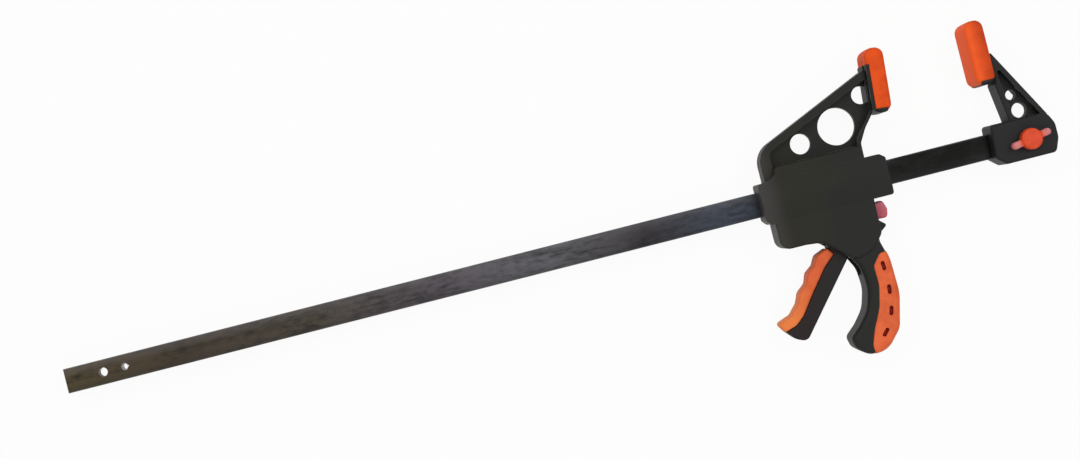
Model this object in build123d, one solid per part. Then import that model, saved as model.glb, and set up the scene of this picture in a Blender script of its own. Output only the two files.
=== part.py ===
from build123d import *
from math import cos, hypot, pi, radians, sin, tan
import os

# One-handed bar clamp, lying on its side.
# X runs along the bar from its tail to the fixed jaw, Y points from the bar to the jaw tips,
# and Z points up, away from the surface that the clamp lies on.
# While it is modelled, X starts at the bar's tail and Y and Z at the bar's axis.

# Driving sizes
bar_length = 813.0
bar_height = 20.0
bar_thickness = 6.0
head_setback = 237.6
head_length = 105.2
jaw_height = 87.0
handle_length = 138.0
panel_width = 34.0
jaw_width = 22.0
handle_width = 30.0
collar_width = 26.0
pad_width = 34.0
pad_length = 52.6
pad_thickness = 15.8
wall = 2.8
running_clearance = 0.05
moving_clearance = 0.3
fit_clearance = 0.1
overrun = 5.0

# Bar and stop pin
bar_edge = 0.6
tail_hole_place = 31.0
tail_hole_radius = 3.6
stop_pin_place = 49.1
stop_pin_radius = 3.1
stop_pin_bore = 2.5
stop_pin_slit = 0.9
stop_pin_length = 8.0

# Outlines of the head, as shares: along the head, up the jaw or down the handle, corner radius
panel_shares = [
    (0.063, 0.180, 0.035),
    (0.063, -0.287, 0.076),
    (0.253, -0.288, 0.095),
    (0.367, -0.297, 0.060),
    (0.408, -0.317, 0.030),
    (0.560, -0.427, 0.030),
    (0.634, -0.442, 0.076),
    (0.747, -0.406, 0.140),
    (0.831, -0.326, 0.060),
    (0.833, -0.200, 0.030),
    (0.836, -0.100, 0.100),
    (0.836, 0.310, 0.040),
    (0.158, 0.310, 0.040),
    (0.145, 0.240, 0.030),
]
jaw_shares = [
    (0.072, 0.090, 0.000),
    (0.072, 0.477, 0.175),
    (1.021, 0.979, 0.020),
    (0.992, 0.563, 0.020),
    (0.915, 0.450, 0.200),
    (0.855, 0.325, 0.060),
    (0.850, 0.090, 0.000),
]
jaw_recess_shares = [
    (0.153, 0.200, 0.000),
    (0.153, 0.445, 0.067),
    (1.003, 0.889, 0.010),
    (0.983, 0.606, 0.030),
    (0.826, 0.362, 0.095),
    (0.808, 0.200, 0.000),
]
jaw_hole_shares = [
    (0.4175, 0.4545, 0.079),
    (0.7165, 0.530, 0.144),
    (0.953, 0.757, 0.069),
]
handle_shares = [
    (0.700, -0.260, 0.000),
    (0.552, -0.409, 0.060),
    (0.616, -0.500, 0.190),
    (0.629, -0.623, 0.285),
    (0.584, -0.739, 0.238),
    (0.500, -0.818, 0.190),
    (0.412, -0.878, 0.050),
    (0.432, -0.940, 0.076),
    (0.519, -0.997, 0.114),
    (0.664, -0.990, 0.171),
    (0.789, -0.884, 0.143),
    (0.852, -0.688, 0.380),
    (0.845, -0.478, 0.380),
    (0.797, -0.348, 0.060),
    (0.801, -0.260, 0.000),
]
spur_shares = [
    (0.780, -0.256, 0.000),
    (0.832, -0.246, 0.030),
    (0.896, -0.290, 0.014),
    (0.812, -0.340, 0.060),
    (0.815, -0.400, 0.000),
    (0.780, -0.400, 0.000),
]
palm_shares = [
    (0.980, -0.425, 0.000),
    (0.775, -0.438, 0.040),
    (0.708, -0.500, 0.060),
    (0.712, -0.620, 0.250),
    (0.672, -0.745, 0.300),
    (0.600, -0.853, 0.200),
    (0.556, -0.945, 0.100),
    (0.575, -1.058, 0.000),
    (0.980, -1.058, 0.000),
]
palm_slot_shares = [
    (0.780, -0.513, 2.0),
    (0.780, -0.653, -6.0),
    (0.755, -0.775, -16.0),
    (0.675, -0.889, -42.0),
]
mouth_shares = [
    (0.391, -0.246, 0.000),
    (0.690, -0.246, 0.030),
    (0.690, -0.406, 0.030),
    (0.649, -0.457, 0.030),
    (0.640, -0.529, 0.030),
    (0.600, -0.569, 0.000),
    (0.481, -0.522, 0.000),
    (0.348, -0.377, 0.000),
    (0.389, -0.319, 0.000),
]
left_collar_shares = [
    (0.000, 0.186, 0.020),
    (0.000, -0.096, 0.020),
    (0.034, -0.126, 0.020),
    (0.110, -0.126, 0.000),
    (0.110, 0.186, 0.000),
]
right_collar_shares = [
    (0.760, 0.187, 0.000),
    (0.957, 0.187, 0.020),
    (1.000, 0.148, 0.020),
    (1.000, -0.126, 0.020),
    (0.760, -0.126, 0.000),
]
band_shares = [
    (0.000, 0.186, 0.020),
    (0.000, -0.096, 0.020),
    (0.034, -0.126, 0.020),
    (0.990, -0.126, 0.020),
    (0.990, 0.148, 0.020),
    (0.950, 0.187, 0.020),
]

# Trigger outlines: front wave, joint between strip and lever, and back
trigger_front_shares = [
    (0.411, -0.337, 0.020),
    (0.316, -0.366, 0.048),
    (0.280, -0.418, 0.048),
    (0.218, -0.453, 0.048),
    (0.190, -0.511, 0.048),
    (0.124, -0.552, 0.048),
    (0.091, -0.611, 0.048),
    (0.022, -0.668, 0.057),
    (-0.097, -0.701, 0.024),
]
trigger_joint_shares = [
    (0.449, -0.380, 0.000),
    (0.360, -0.439, 0.095),
    (0.215, -0.577, 0.285),
    (0.112, -0.684, 0.143),
    (0.043, -0.730, 0.095),
    (-0.051, -0.752, 0.000),
]
trigger_back_shares = [
    (0.016, -0.808, 0.076),
    (0.096, -0.834, 0.067),
    (0.262, -0.682, 0.380),
    (0.548, -0.422, 0.190),
    (0.640, -0.319, 0.048),
    (0.647, -0.232, 0.048),
]
trigger_root_shares = [
    (0.520, -0.200, 0.048),
    (0.436, -0.305, 0.030),
    (0.417, -0.338, 0.012),
]

# Places in the head, as shares of the head's length and of the handle's or jaw's height
pivot_share = (0.576, -0.239)
brake_pin_share = (0.747, 0.201)
screw_shares = [
    (0.165, -0.219),
    (0.220, 0.222),
    (0.650, 0.224),
    (0.747, -0.341),
    (0.676, -0.638),
    (0.529, -0.888),
]
movable_seat_share = (1.012, 0.856)

# Shells
panel_edge = 2.4
jaw_edge = 1.6
handle_edge = 4.4
collar_edge = 1.6
band_rise = 2.4
band_round = 60.0
band_edge = 1.2
spur_edge = 0.8
spur_width = 18.0
web_thickness = 5.0
panel_depth = 14.2
handle_depth = 12.3
mouth_width = 19.0
pivot_boss_radius = 6.5
pivot_boss_inset = 9.2
brake_boss_radius = 4.2
pin_end_wall = 1.6
rib_thickness = 2.4
rib_drop = 2.0
rib_height = 9.5

# Screws
screw_radius = 1.5
screw_passage = 1.8
screw_boss_radius = 4.0
screw_head_radius = 2.9
screw_head_height = 2.4
screw_head_well = 3.3
screw_seat = 12.0
screw_length = 20.0
screw_recess_width = 1.0
screw_recess_depth = 1.3
screw_spare = 1.0

# Seats and pads
seat_thickness = 1.6
seat_width = 16.0
seat_lip = 0.4
movable_seat_low = 23.5
movable_seat_high = 13.2
movable_tongue_depth = 2.4
movable_tongue_width = 32.0
tongue_depth = 3.0
tongue_width = 14.0
tongue_low = 23.6
tongue_high = 13.2
pad_round = 6.8
pad_edge = 3.6
pad_lean = 4.8
foot_reach = 12.0
foot_height = 3.4
foot_width = 33.2

# Palm inlay
palm_depth = 2.4
palm_proud = 0.5
palm_edge = 4.6
palm_slot_length = 7.6
palm_slot_width = 3.0

# Trigger
trigger_width = 17.0
trigger_edge = 1.6
strip_width = 20.0
strip_edge = 2.2
hub_radius = 8.0
pivot_pin_radius = 3.0
nose_radius = 3.5
nose_root_radius = 3.0
nose_width = 8.0
nose_clearance = 5.2
nose_lean = 8.5

# Drive plates, washer and spring
plate_thickness = 3.0
plate_width = 18.0
plate_head = 6.0
plate_tail = 9.5
plate_corner = 2.0
washer_thickness = 1.0
washer_radius = 12.9
washer_bore = 10.75
drive_wire = 0.8
drive_coil_radius = 11.7
drive_turns = 7
spring_seat_clearance = 0.3

# Brake
brake_pin_radius = 2.0
brake_cant = 5.0
brake_plate_head = 4.5
brake_plate_tail = 48.0
brake_wire = 0.45
brake_coil_radius = 3.1
brake_turns = 4
brake_spring_drop = 6.0
button_reach = 15.8
button_top = 39.8
button_bottom = 53.7
button_root = 2.0
button_width = 12.0
button_edge = 1.6
button_corner = 3.2
window_margin = 0.9

# Fixed jaw, as shares of its length and height
fixed_length = 50.7
fixed_height = 72.5
bar_seat_depth = 44.8
socket_width = 28.0
socket_edge = 2.4
fixed_flange_width = 22.0
fixed_web_width = 7.0
fixed_edge = 1.4
keyhole_place = 27.2
keyhole_drop = 1.8
socket_shares = [
    (-0.010, 0.225, 0.050),
    (0.900, 0.225, 0.160),
    (1.000, 0.080, 0.200),
    (1.000, -0.080, 0.200),
    (0.915, -0.234, 0.080),
    (0.110, -0.234, 0.050),
    (-0.045, -0.140, 0.050),
]
fixed_jaw_shares = [
    (0.335, 0.100, 0.000),
    (0.312, 0.250, 0.090),
    (0.236, 0.650, 0.050),
    (0.256, 0.690, 0.020),
    (0.256, 0.998, 0.020),
    (0.300, 0.998, 0.020),
    (0.927, 0.200, 0.000),
    (0.900, 0.100, 0.000),
]
fixed_recess_shares = [
    (0.400, 0.160, 0.000),
    (0.392, 0.260, 0.060),
    (0.318, 0.690, 0.060),
    (0.318, 0.850, 0.040),
    (0.820, 0.220, 0.060),
    (0.820, 0.160, 0.000),
]
fixed_hole_shares = [
    (0.477, 0.499, 0.080),
    (0.552, 0.313, 0.121),
]
fixed_seat_low = 48.6
fixed_seat_high = 71.0
fixed_tongue_high = 88.0
fixed_pad_middle = 74.9

# Lock
lock_pin_radius = 4.0
lock_flat_width = 4.8
keyhole_slot_width = 5.4
knob_place_gap = 0.4
knob_height = 7.0
knob_radius = 8.5
knob_dome = 1.8
wing_span = 33.0
wing_width = 5.6
wing_height = 5.6
wing_edge = 1.4
wing_turn = 10.5
lock_washer_radius = 7.4
lock_washer_thickness = 0.8
clip_radius = 6.2
clip_thickness = 1.0
clip_slit = 3.0
clip_well_radius = 7.5
clip_well_depth = 2.6
groove_depth = 0.8
pin_tail = 1.0


# Derived sizes
bar_half = bar_height / 2
bar_side = bar_thickness / 2
panel_half = panel_width / 2
jaw_half = jaw_width / 2
handle_half = handle_width / 2
collar_half = collar_width / 2
slot_half_height = bar_half + moving_clearance
slot_half_width = bar_side + moving_clearance
socket_left = bar_length - bar_seat_depth
lock_axis = (socket_left + keyhole_place, -keyhole_drop)
head_place = bar_length - head_setback


def head_place_of(share):
    """Place on the head: along its length, and up the jaw or down the handle."""
    height = jaw_height if share[1] > 0 else handle_length
    return (head_place + share[0] * head_length, share[1] * height)


def fixed_place_of(share):
    """Place on the fixed jaw, from its socket's mouth and the bar's axis."""
    return (socket_left + share[0] * fixed_length, share[1] * fixed_height)


pivot = head_place_of(pivot_share)
brake_axis = head_place_of(brake_pin_share)
movable_seat = head_place_of(movable_seat_share)
nose_reach = -pivot[1] - bar_half - nose_clearance - nose_radius
nose_tip = (
    pivot[0] + nose_reach * sin(radians(nose_lean)),
    pivot[1] + nose_reach * cos(radians(nose_lean)),
)
plates_right = nose_tip[0] - nose_radius - moving_clearance
plates_left = plates_right - 2 * plate_thickness - fit_clearance
washer_left = plates_left - fit_clearance - washer_thickness
cavity_left = head_place + panel_shares[0][0] * head_length + wall


def rounded_face(corners):
    """Closed face of straight runs with a tangent arc at each corner (x, y, radius)."""
    count = len(corners)
    joins = []
    for i, (x, y, radius) in enumerate(corners):
        before = corners[i - 1]
        after = corners[(i + 1) % count]
        back = (before[0] - x, before[1] - y)
        ahead = (after[0] - x, after[1] - y)
        back_run = hypot(*back)
        ahead_run = hypot(*ahead)
        back = (back[0] / back_run, back[1] / back_run)
        ahead = (ahead[0] / ahead_run, ahead[1] / ahead_run)
        half = Vector(*back).get_angle(Vector(*ahead)) / 2
        if radius == 0:
            joins.append((Vector(x, y), None, Vector(x, y)))
            continue
        reach_share = 0.47
        reach = min(radius / tan(radians(half)), reach_share * min(back_run, ahead_run))
        bend = reach * tan(radians(half))
        inward = Vector(back[0] + ahead[0], back[1] + ahead[1]).normalized()
        middle = Vector(x, y) + inward * (bend / sin(radians(half)) - bend)
        start = Vector(x + back[0] * reach, y + back[1] * reach)
        end = Vector(x + ahead[0] * reach, y + ahead[1] * reach)
        joins.append((start, middle, end))
    edges = []
    for i, (start, middle, end) in enumerate(joins):
        if middle is not None:
            edges.append(ThreePointArc(start, middle, end))
        edges.append(Line(end, joins[(i + 1) % count][0]))
    return make_face(Wire(edges))


def head_corners(shares):
    """Corners of an outline on the head."""
    return [(*head_place_of(share), share[2] * head_length) for share in shares]


def fixed_corners(shares):
    """Corners of an outline on the fixed jaw."""
    return [(*fixed_place_of(share), share[2] * fixed_length) for share in shares]


def slab(face, low, high):
    """Solid over a flat outline, between two heights."""
    return extrude(Pos(0, 0, low) * face, amount=high - low, dir=(0, 0, 1))


def soft_slab(face, high, edge):
    """Half of a symmetric plate, from the middle plane up, with its top edge rounded."""
    solid = slab(face, 0, high)
    return fillet(solid.edges().group_by(Axis.Z)[-1], edge)


def block(x, y, z):
    """Box between two places on each axis."""
    size = (x[1] - x[0], y[1] - y[0], z[1] - z[0])
    middle = ((x[0] + x[1]) / 2, (y[0] + y[1]) / 2, (z[0] + z[1]) / 2)
    return Pos(*middle) * Box(*size)


def rod(place, radius, low, high):
    """Upright cylinder between two heights."""
    return Pos(place[0], place[1], (low + high) / 2) * Cylinder(radius, high - low)


def panel_face():
    """Side panel of the housing."""
    return rounded_face(head_corners(panel_shares))


def handle_face():
    """Side outline of the handle."""
    return rounded_face(head_corners(handle_shares))


def seat_frame(place, lean):
    """Frame of a pad's back: X out of the clamping face, Y along the pad, Z across it."""
    return Pos(place[0], place[1], 0) * Rot(0, 0, lean)


def pad_form():
    """Rounded block of a pad before its pocket is cut, its back's middle at the origin."""
    body = Pos(pad_thickness / 2, 0, 0) * Box(pad_thickness, pad_length, pad_width)
    body = fillet(body.edges().filter_by(Axis.Z), pad_round)
    return fillet(body.edges().group_by(Axis.Z)[-1] + body.edges().group_by(Axis.Z)[0], pad_edge)


def half_foot():
    """Near half of the seat's foot, which fills the notch at the pad's lower end."""
    low = -pad_length / 2
    return pad_form() & block((0, foot_reach), (low, low + foot_height), (0, foot_width / 2))


def half_movable_seat():
    """Near half of the plate that carries the sliding jaw's pad, with its tongue and foot."""
    plate = block((-seat_thickness, 0), (-movable_seat_low, movable_seat_high), (0, seat_width / 2))
    plate += block(
        (-seat_lip, movable_tongue_depth), (-tongue_low, tongue_high), (0, movable_tongue_width / 2)
    )
    return seat_frame(movable_seat, -pad_lean) * (plate + half_foot())


def half_jaw():
    """Near half of the sliding jaw: rim flanges round a thin web with three holes."""
    jaw = soft_slab(rounded_face(head_corners(jaw_shares)), jaw_half, jaw_edge)
    recess = rounded_face(head_corners(jaw_recess_shares))
    jaw -= slab(recess, web_thickness / 2, jaw_half + overrun)
    for share in jaw_hole_shares:
        hole = rod(head_place_of(share), share[2] * head_length, -overrun, jaw_half)
        jaw -= hole & slab(recess, -overrun, jaw_half)
    return jaw


def half_collar(shares):
    """Near half of a guide collar round the bar."""
    return soft_slab(rounded_face(head_corners(shares)), collar_half, collar_edge)


def near_band():
    """Crowned band over the bar on the near side, from one collar's end to the other's."""
    crest = panel_half + band_rise
    band = soft_slab(rounded_face(head_corners(band_shares)), crest, band_edge)
    middle = head_place + head_length / 2
    crown = Cylinder(band_round, 2 * head_length, rotation=(0, 90, 0))
    return band & Pos(middle, 0, crest - band_round) * crown


def palm_bed():
    """What stays of the handle under the palm inlay."""
    return slab(offset(handle_face(), amount=-palm_depth), 0, handle_half - palm_depth)


def palm_zone():
    """Column over the palm inlay's outline."""
    return slab(rounded_face(head_corners(palm_shares)), 0, panel_width)


def half_shell(*forms):
    """Near half of the head with forms of its own, without the screws' bores."""
    shell = soft_slab(panel_face(), panel_half, panel_edge)
    for form in forms:
        shell += form
    handle = soft_slab(handle_face(), handle_half, handle_edge)
    handle -= palm_zone() - palm_bed()
    shell += handle
    shell += half_jaw()
    shell += half_collar(left_collar_shares)
    shell += half_collar(right_collar_shares)
    shell += soft_slab(rounded_face(head_corners(spur_shares)), spur_width / 2, spur_edge)
    shell += half_movable_seat()

    # Hollow of the housing and of the handle
    shell -= slab(offset(panel_face(), amount=-wall), 0, panel_depth)
    shell -= slab(offset(handle_face(), amount=-palm_depth - wall), 0, handle_depth)
    shell -= slab(rounded_face(head_corners(mouth_shares)), 0, mouth_width / 2)

    # Bosses and the rib that the brake spring pushes on
    shell += rod(pivot, pivot_boss_radius, pivot_boss_inset, panel_depth)
    shell += rod(brake_axis, brake_boss_radius, pivot_boss_inset, panel_depth)
    for share in screw_shares:
        shell += rod(head_place_of(share), screw_boss_radius, 0, handle_depth)
    for share in screw_shares[:4]:
        shell += rod(head_place_of(share), screw_boss_radius, handle_depth, panel_depth)
    rib_right = brake_rib_right()
    shell += block(
        (rib_right - rib_thickness, rib_right),
        (-bar_half - rib_drop - rib_height, -bar_half - rib_drop),
        (0, panel_depth),
    )

    # Way through for the bar, seats of the two pins, and the button's window
    shell -= block(
        (head_place - overrun, head_place + head_length + overrun),
        (-slot_half_height, slot_half_height),
        (-overrun, slot_half_width),
    )
    pin_end = panel_half - pin_end_wall
    shell -= rod(pivot, pivot_pin_radius, 0, pin_end)
    shell -= rod(brake_axis, brake_pin_radius, 0, pin_end)
    button_rise = button_reach * sin(radians(brake_cant))
    window_top = brake_axis[1] - button_top * cos(radians(brake_cant)) + button_rise
    shell -= block(
        (brake_axis[0], head_place + head_length),
        (brake_axis[1] - button_bottom - window_margin, window_top + window_margin),
        (0, button_width / 2 + window_margin),
    )
    return shell


def brake_rib_right():
    """Face of the rib that carries the brake spring."""
    drop = brake_axis[1] + bar_half + brake_spring_drop
    plate_left = brake_axis[0] + drop * sin(radians(brake_cant)) - plate_thickness / 2
    return plate_left - brake_spring_length() - 2 * spring_seat_clearance


def brake_spring_length():
    """Length of the brake spring at rest."""
    return brake_turns * 4 * brake_wire


def build_body_shell_front():
    """Near half of the head, with blind holes for the screws."""
    shell = half_shell(near_band())
    for share in screw_shares:
        depth = screw_length - screw_seat + screw_spare
        shell -= rod(head_place_of(share), screw_radius, 0, depth)
    return shell


def build_body_shell_rear():
    """Far half of the head, with the screws' passages and the wells for their heads."""
    shell = mirror(half_shell(), about=Plane.XY)
    for share in screw_shares:
        place = head_place_of(share)
        shell -= rod(place, screw_passage, -screw_seat, 0)
        shell -= rod(place, screw_head_well, -panel_width, -screw_seat)
    return shell


def build_shell_screws():
    """Six equal pan-head screws with a crossed recess."""
    screws = []
    for share in screw_shares:
        place = head_place_of(share)
        head_top = screw_seat + screw_head_height
        screw = rod(place, screw_radius, -screw_seat, screw_length - screw_seat)
        head = rod(place, screw_head_radius, -head_top, -screw_seat)
        head = fillet(head.edges().group_by(Axis.Z)[0], screw_head_height / 4)
        for turn in (0, 90):
            arm = Box(screw_head_radius, screw_recess_width, 2 * screw_recess_depth)
            head -= Pos(place[0], place[1], -head_top) * Rot(0, 0, turn) * arm
        screws.append(screw + head)
    return Compound(children=screws)


def build_palm_grip_front():
    """Near half of the soft inlay along the handle's back, with four slots."""
    skin = offset(handle_face(), amount=palm_proud)
    inlay = soft_slab(skin, handle_half + palm_proud, palm_edge) & palm_zone()
    inlay -= palm_bed()
    for share in palm_slot_shares:
        place = head_place_of(share)
        straight = palm_slot_length - palm_slot_width
        slot = SlotCenterToCenter(straight, palm_slot_width)
        slot = slab(slot, handle_half - palm_depth - overrun, handle_half + overrun)
        inlay -= Pos(place[0], place[1], 0) * Rot(0, 0, 90 + share[2]) * slot
    return inlay


def build_palm_grip_rear():
    """Far half of the soft inlay."""
    return mirror(build_palm_grip_front(), about=Plane.XY)


def pad_block(tongue_top, depth, pocket_width):
    """Soft pad with its pocket for the seat's tongue and its notch for the seat's foot."""
    low = -pad_length / 2
    body = pad_form() - block(
        (-overrun, foot_reach + fit_clearance),
        (low - overrun, low + foot_height + fit_clearance),
        (-pad_width, pad_width),
    )
    body -= block(
        (-overrun, depth + fit_clearance),
        (-tongue_low - fit_clearance, tongue_top + fit_clearance),
        (-pocket_width / 2 - fit_clearance, pocket_width / 2 + fit_clearance),
    )
    return body


def build_movable_pad():
    """Pad of the sliding jaw, leaning towards the fixed jaw."""
    return seat_frame(movable_seat, -pad_lean) * pad_block(tongue_high, movable_tongue_depth, pad_width)


def build_bar():
    """Flat steel bar with its tail holes and the keyhole for the lock pin."""
    bar = block((0, bar_length), (-bar_half, bar_half), (-bar_side, bar_side))
    bar = fillet(bar.edges().filter_by(Axis.X), bar_edge)
    bar -= rod((tail_hole_place, 0), tail_hole_radius, -bar_thickness, bar_thickness)
    bar -= rod((stop_pin_place, 0), stop_pin_radius, -bar_thickness, bar_thickness)
    keyhole_radius = lock_pin_radius + moving_clearance
    bar -= rod(lock_axis, keyhole_radius, -bar_thickness, bar_thickness)
    bar -= block(
        (lock_axis[0], bar_length + overrun),
        (lock_axis[1] - keyhole_slot_width / 2, lock_axis[1] + keyhole_slot_width / 2),
        (-bar_thickness, bar_thickness),
    )
    return bar


def build_stop_pin():
    """Slit spring pin across the bar."""
    place = (stop_pin_place, 0)
    half = stop_pin_length / 2
    pin = rod(place, stop_pin_radius, -half, half)
    pin = chamfer(pin.edges().filter_by(GeomType.CIRCLE), stop_pin_slit / 2)
    pin -= rod(place, stop_pin_bore, -stop_pin_length, stop_pin_length)
    pin -= block(
        (stop_pin_place, stop_pin_place + 2 * stop_pin_radius),
        (-stop_pin_slit / 2, stop_pin_slit / 2),
        (-stop_pin_length, stop_pin_length),
    )
    return pin


def build_trigger():
    """Black lever with its hub and the nose that pushes the drive plates."""
    outline = trigger_root_shares + trigger_joint_shares + trigger_back_shares
    half = trigger_width / 2
    lever = slab(rounded_face(head_corners(outline)), -half, half)
    ends = lever.edges().group_by(Axis.Z)
    lever = fillet(ends[-1] + ends[0], trigger_edge)
    lever += rod(pivot, hub_radius, -half, half)
    side = nose_root_radius / nose_reach
    across = (cos(radians(nose_lean)), -sin(radians(nose_lean)))
    nose = rod(nose_tip, nose_radius, -nose_width / 2, nose_width / 2)
    cheek = [
        (pivot[0] - across[0] * side * nose_reach, pivot[1] - across[1] * side * nose_reach, 0),
        (nose_tip[0] - across[0] * nose_radius, nose_tip[1] - across[1] * nose_radius, 0),
        (nose_tip[0] + across[0] * nose_radius, nose_tip[1] + across[1] * nose_radius, 0),
        (pivot[0] + across[0] * side * nose_reach, pivot[1] + across[1] * side * nose_reach, 0),
    ]
    nose += slab(rounded_face(cheek), -nose_width / 2, nose_width / 2)
    lever += nose
    lever -= rod(pivot, pivot_pin_radius + running_clearance, -panel_width, panel_width)
    return lever


def build_trigger_grip():
    """Soft wavy strip along the trigger's front."""
    outline = trigger_front_shares + trigger_joint_shares[::-1]
    half = strip_width / 2
    strip = slab(rounded_face(head_corners(outline)), -half, half)
    ends = strip.edges().group_by(Axis.Z)
    return fillet(ends[-1] + ends[0], strip_edge)


def build_trigger_pivot_pin():
    """Steel pin held by both shells."""
    end = panel_half - pin_end_wall
    return rod(pivot, pivot_pin_radius, -end, end)


def drive_plate(left):
    """Steel plate with the slot for the bar, between the spring and the trigger's nose."""
    outline = [
        (bar_half + plate_head, -plate_width / 2, plate_corner),
        (bar_half + plate_head, plate_width / 2, plate_corner),
        (-bar_half - plate_tail, plate_width / 2, plate_corner),
        (-bar_half - plate_tail, -plate_width / 2, plate_corner),
    ]
    plate = extrude(Plane.YZ * rounded_face(outline), amount=plate_thickness, dir=(1, 0, 0))
    plate -= block(
        (-plate_thickness, 2 * plate_thickness),
        (-slot_half_height, slot_half_height),
        (-slot_half_width, slot_half_width),
    )
    return Pos(left, 0, 0) * plate


def build_drive_plate_1():
    """Plate next to the washer."""
    return drive_plate(plates_left)


def build_drive_plate_2():
    """Plate next to the trigger's nose."""
    return drive_plate(plates_right - plate_thickness)


def build_spring_washer():
    """Washer between the drive spring and the plates."""
    ring = Rot(0, 90, 0) * Cylinder(washer_radius, washer_thickness)
    ring -= Rot(0, 90, 0) * Cylinder(washer_bore, 2 * washer_thickness)
    return Pos(washer_left + washer_thickness / 2, 0, 0) * ring


def coil_spring(left, length, radius, wire, turns, height):
    """Wound spring along X: one unbroken tube, its ends flush with the stated length."""
    rise = (length - 2 * wire) / (4 * turns)
    steps = 4 * turns
    points = []
    for i in range(2 * steps + 1):
        angle = i * pi / 4
        points.append(
            Vector(left + wire + i * rise / 2, height + radius * cos(angle), radius * sin(angle))
        )
    arcs = [ThreePointArc(points[2 * i], points[2 * i + 1], points[2 * i + 2]) for i in range(steps)]
    path = Wire(arcs)
    start = Plane(origin=path @ 0, z_dir=path % 0)
    gap = 4 * rise - 2 * wire
    print("coil gap", round(gap, 2), "mm")
    return sweep(start * Circle(wire), path=path)


def build_drive_spring():
    """Compression spring round the bar, from the housing's end wall to the washer."""
    left = cavity_left + spring_seat_clearance
    length = washer_left - spring_seat_clearance - left
    return coil_spring(left, length, drive_coil_radius, drive_wire, drive_turns, 0)


def brake_frame(turn):
    """Frame of the brake plate: it hangs from its pin and swings about it."""
    return Pos(brake_axis[0], brake_axis[1], 0) * Rot(0, 0, turn)


def build_brake_plate():
    """Canted steel plate that grips the bar."""
    half = plate_thickness / 2
    outline = [
        (brake_plate_head, -plate_width / 2, plate_corner),
        (brake_plate_head, plate_width / 2, plate_corner),
        (-brake_plate_tail, plate_width / 2, plate_corner),
        (-brake_plate_tail, -plate_width / 2, plate_corner),
    ]
    plate = extrude(Plane.YZ * rounded_face(outline), amount=plate_thickness, dir=(1, 0, 0))
    plate = Pos(-half, 0, 0) * plate
    tilt_spare = half * sin(radians(brake_cant)) + moving_clearance
    slot_top = brake_axis[1] - bar_half - tilt_spare
    slot_bottom = (brake_axis[1] + bar_half + tilt_spare) / cos(radians(brake_cant))
    plate -= block(
        (-plate_thickness, plate_thickness),
        (-slot_bottom, -slot_top),
        (-slot_half_width, slot_half_width),
    )
    eye = brake_pin_radius + 2 * half
    plate += rod((0, 0), eye, -plate_width / 2, plate_width / 2)
    plate -= rod((0, 0), brake_pin_radius + running_clearance, -plate_width, plate_width)
    return brake_frame(brake_cant) * plate


def build_brake_pin():
    """Steel pin that the brake plate hangs on."""
    end = panel_half - pin_end_wall
    return rod(brake_axis, brake_pin_radius, -end, end)


def build_brake_spring():
    """Small spring between the rib and the brake plate."""
    left = brake_rib_right() + spring_seat_clearance
    height = -bar_half - brake_spring_drop
    return coil_spring(
        left, brake_spring_length(), brake_coil_radius, brake_wire, brake_turns, height
    )


def build_release_button():
    """Crimson cap on the brake plate's lower end, which the thumb presses."""
    left = plate_thickness / 2
    outline = [
        (left, -button_top, 0),
        (button_reach - button_root, -button_top + button_root / 2, button_corner),
        (button_reach, -(button_top + button_bottom) / 2, button_corner),
        (button_reach - button_root, -button_bottom, button_corner),
        (left, -button_bottom + button_root, 0),
    ]
    half = button_width / 2
    button = slab(rounded_face(outline), -half, half)
    ends = button.edges().group_by(Axis.Z)
    button = fillet(ends[-1] + ends[0], button_edge)
    return brake_frame(brake_cant) * button


def build_fixed_jaw():
    """Jaw at the bar's end: socket, flanged web with two holes, pad seat and lock bore."""
    half = soft_slab(rounded_face(fixed_corners(socket_shares)), socket_width / 2, socket_edge)
    arm = soft_slab(rounded_face(fixed_corners(fixed_jaw_shares)), fixed_flange_width / 2, fixed_edge)
    recess = rounded_face(fixed_corners(fixed_recess_shares))
    arm -= slab(recess, fixed_web_width / 2, socket_width)
    for share in fixed_hole_shares:
        arm -= rod(fixed_place_of(share), share[2] * fixed_length, -overrun, socket_width)
    half += arm
    seat = fixed_seat_place()
    half += block(
        (seat[0], seat[0] + seat_thickness), (fixed_seat_low, fixed_seat_high), (0, seat_width / 2)
    )
    half += block(
        (seat[0] - tongue_depth, seat[0]),
        (seat[1] - tongue_low, fixed_tongue_high),
        (0, tongue_width / 2),
    )
    half += Pos(*seat, 0) * mirror(half_foot(), about=Plane.YZ)
    jaw = half + mirror(half, about=Plane.XY)
    jaw -= block(
        (socket_left - overrun, bar_length + fit_clearance),
        (-bar_half - fit_clearance, bar_half + fit_clearance),
        (-bar_side - fit_clearance, bar_side + fit_clearance),
    )
    jaw -= rod(lock_axis, lock_pin_radius + running_clearance, -socket_width, socket_width)
    well_top = -socket_width / 2 + clip_well_depth
    jaw -= rod(lock_axis, clip_well_radius, -socket_width, well_top)
    return jaw


def fixed_seat_place():
    """Middle of the fixed pad's back."""
    return (fixed_place_of(fixed_jaw_shares[4])[0], fixed_pad_middle)


def build_fixed_pad():
    """Pad of the fixed jaw."""
    seat = fixed_seat_place()
    pad = pad_block(fixed_tongue_high - seat[1], tongue_depth, tongue_width)
    return Pos(*seat, 0) * mirror(pad, about=Plane.YZ)


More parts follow.
